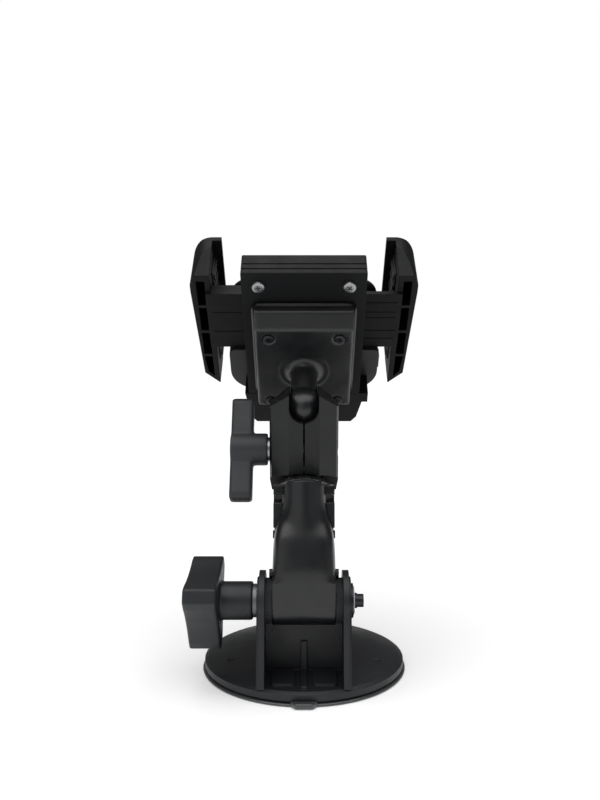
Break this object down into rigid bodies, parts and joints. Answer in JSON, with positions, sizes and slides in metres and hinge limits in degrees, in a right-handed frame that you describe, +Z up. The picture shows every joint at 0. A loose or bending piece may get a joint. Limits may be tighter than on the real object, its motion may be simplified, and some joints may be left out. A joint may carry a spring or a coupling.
{
  "type": "suction cup phone holder",
  "caption": "Phone holder with sliding side jaws on a ball clamp and a hinged arm over a lever-locked suction cup base.",
  "frame": {"origin": "centre of the suction pad's flat underside, where the holder stands", "axes": "+Z up from the surface, +X to the right seen from behind the phone, +Y towards the side that the phone's screen faces"},
  "size_m": [0.1004, 0.1275, 0.187],
  "materials": {
    "shell_plastic": "fine moulded texture",
    "lever_plastic": "smooth moulded",
    "pad_rubber": "soft satin rubber",
    "bright_steel": "zinc plated",
    "black_steel": "black oxide",
    "washer_fibre": "fibre washer"
  },
  "bodies": {
    "base": {"suction_cup": "pad_rubber", "base_cover": "shell_plastic", "pivot_nut": "bright_steel", "pivot_washer": "black_steel", "knob_washer": "bright_steel"},
    "stem": {"cup_stem": "lever_plastic", "lever_pin": "bright_steel"},
    "lever": {"cam_lever": "lever_plastic"},
    "arm": {"gooseneck_arm": "shell_plastic", "cross_pin": "black_steel", "friction_washers": "washer_fibre"},
    "base_knob": {"base_knob": "shell_plastic", "pivot_bolt": "black_steel"},
    "clamp": {"clamp_half_left": "shell_plastic", "clamp_half_right": "shell_plastic", "clamp_bolt": "bright_steel", "clamp_spring": "bright_steel", "clamp_washer": "bright_steel"},
    "clamp_knob": {"t_knob": "shell_plastic", "t_knob_nut": "bright_steel"},
    "holder": {"ball_plate": "shell_plastic", "plate_screws": "black_steel", "adapter_plate": "shell_plastic", "channel_plate": "shell_plastic", "block_screws": "bright_steel", "cradle_back": "shell_plastic", "cradle_front": "shell_plastic", "cradle_cushion": "pad_rubber", "button_spring": "bright_steel"},
    "left_jaw": {"left_jaw": "shell_plastic", "left_grip": "pad_rubber"},
    "right_jaw": {"right_jaw": "shell_plastic", "right_grip": "pad_rubber"},
    "pinion": {"pinion": "lever_plastic"},
    "button": {"release_button": "lever_plastic"},
    "foot": {"bottom_foot": "shell_plastic", "foot_pad": "pad_rubber"}
  },
  "joints": [
    {"name": "lever_throw", "type": "hinge", "parent": "stem", "child": "lever", "pos_m": [0, 0, 0.0243], "axis": [1, 0, 0], "range_deg": [0, 65]},
    {"name": "stem_travel", "type": "slide", "parent": "base", "child": "stem", "axis": [0, 0, 1], "range_m": [-0.0025, 0]},
    {"name": "arm_pivot", "type": "hinge", "parent": "base", "child": "arm", "pos_m": [0, -0.024, 0.0355], "axis": [1, 0, 0], "range_deg": [-15, 75]},
    {"name": "base_knob_turn", "type": "hinge", "parent": "base", "child": "base_knob", "pos_m": [0, -0.024, 0.0355], "axis": [1, 0, 0], "continuous": true},
    {"name": "clamp_tilt", "type": "hinge", "parent": "arm", "child": "clamp", "pos_m": [0, 0.00217, 0.08159], "axis": [1, 0, 0], "range_deg": [-35, 2]},
    {"name": "clamp_knob_turn", "type": "hinge", "parent": "clamp", "child": "clamp_knob", "pos_m": [0, 0.00051, 0.09348], "axis": [1, 0, 0], "continuous": true},
    {"name": "holder_tilt", "type": "hinge", "parent": "clamp", "child": "holder", "pos_m": [0, -0.002, 0.1113], "axis": [1, 0, 0], "range_deg": [-9, 60]},
    {"name": "left_jaw_slide", "type": "slide", "parent": "holder", "child": "left_jaw", "axis": [1, 0, 0], "range_m": [-0.006, 0.005]},
    {"name": "right_jaw_slide", "type": "slide", "parent": "holder", "child": "right_jaw", "axis": [-1, 0, 0], "range_m": [-0.006, 0.005]},
    {"name": "pinion_turn", "type": "hinge", "parent": "holder", "child": "pinion", "pos_m": [0, 0.0302, 0.15282], "axis": [0, 0.7193, 0.6947], "range_deg": [-69, 58]},
    {"name": "button_press", "type": "slide", "parent": "holder", "child": "button", "axis": [-1, 0, 0], "range_m": [0, 0.002], "stiffness_N_per_m": 400, "springref_m": -0.001},
    {"name": "foot_slide", "type": "slide", "parent": "holder", "child": "foot", "axis": [0, 0.6947, -0.7193], "range_m": [0, 0.012]}
  ],
  "couplings": [
    {"joint": "stem_travel", "follows": "lever_throw", "m_per_rad": -0.0022015},
    {"joint": "right_jaw_slide", "follows": "left_jaw_slide", "ratio": 1},
    {"joint": "pinion_turn", "follows": "left_jaw_slide", "rad_per_m": 200}
  ]
}
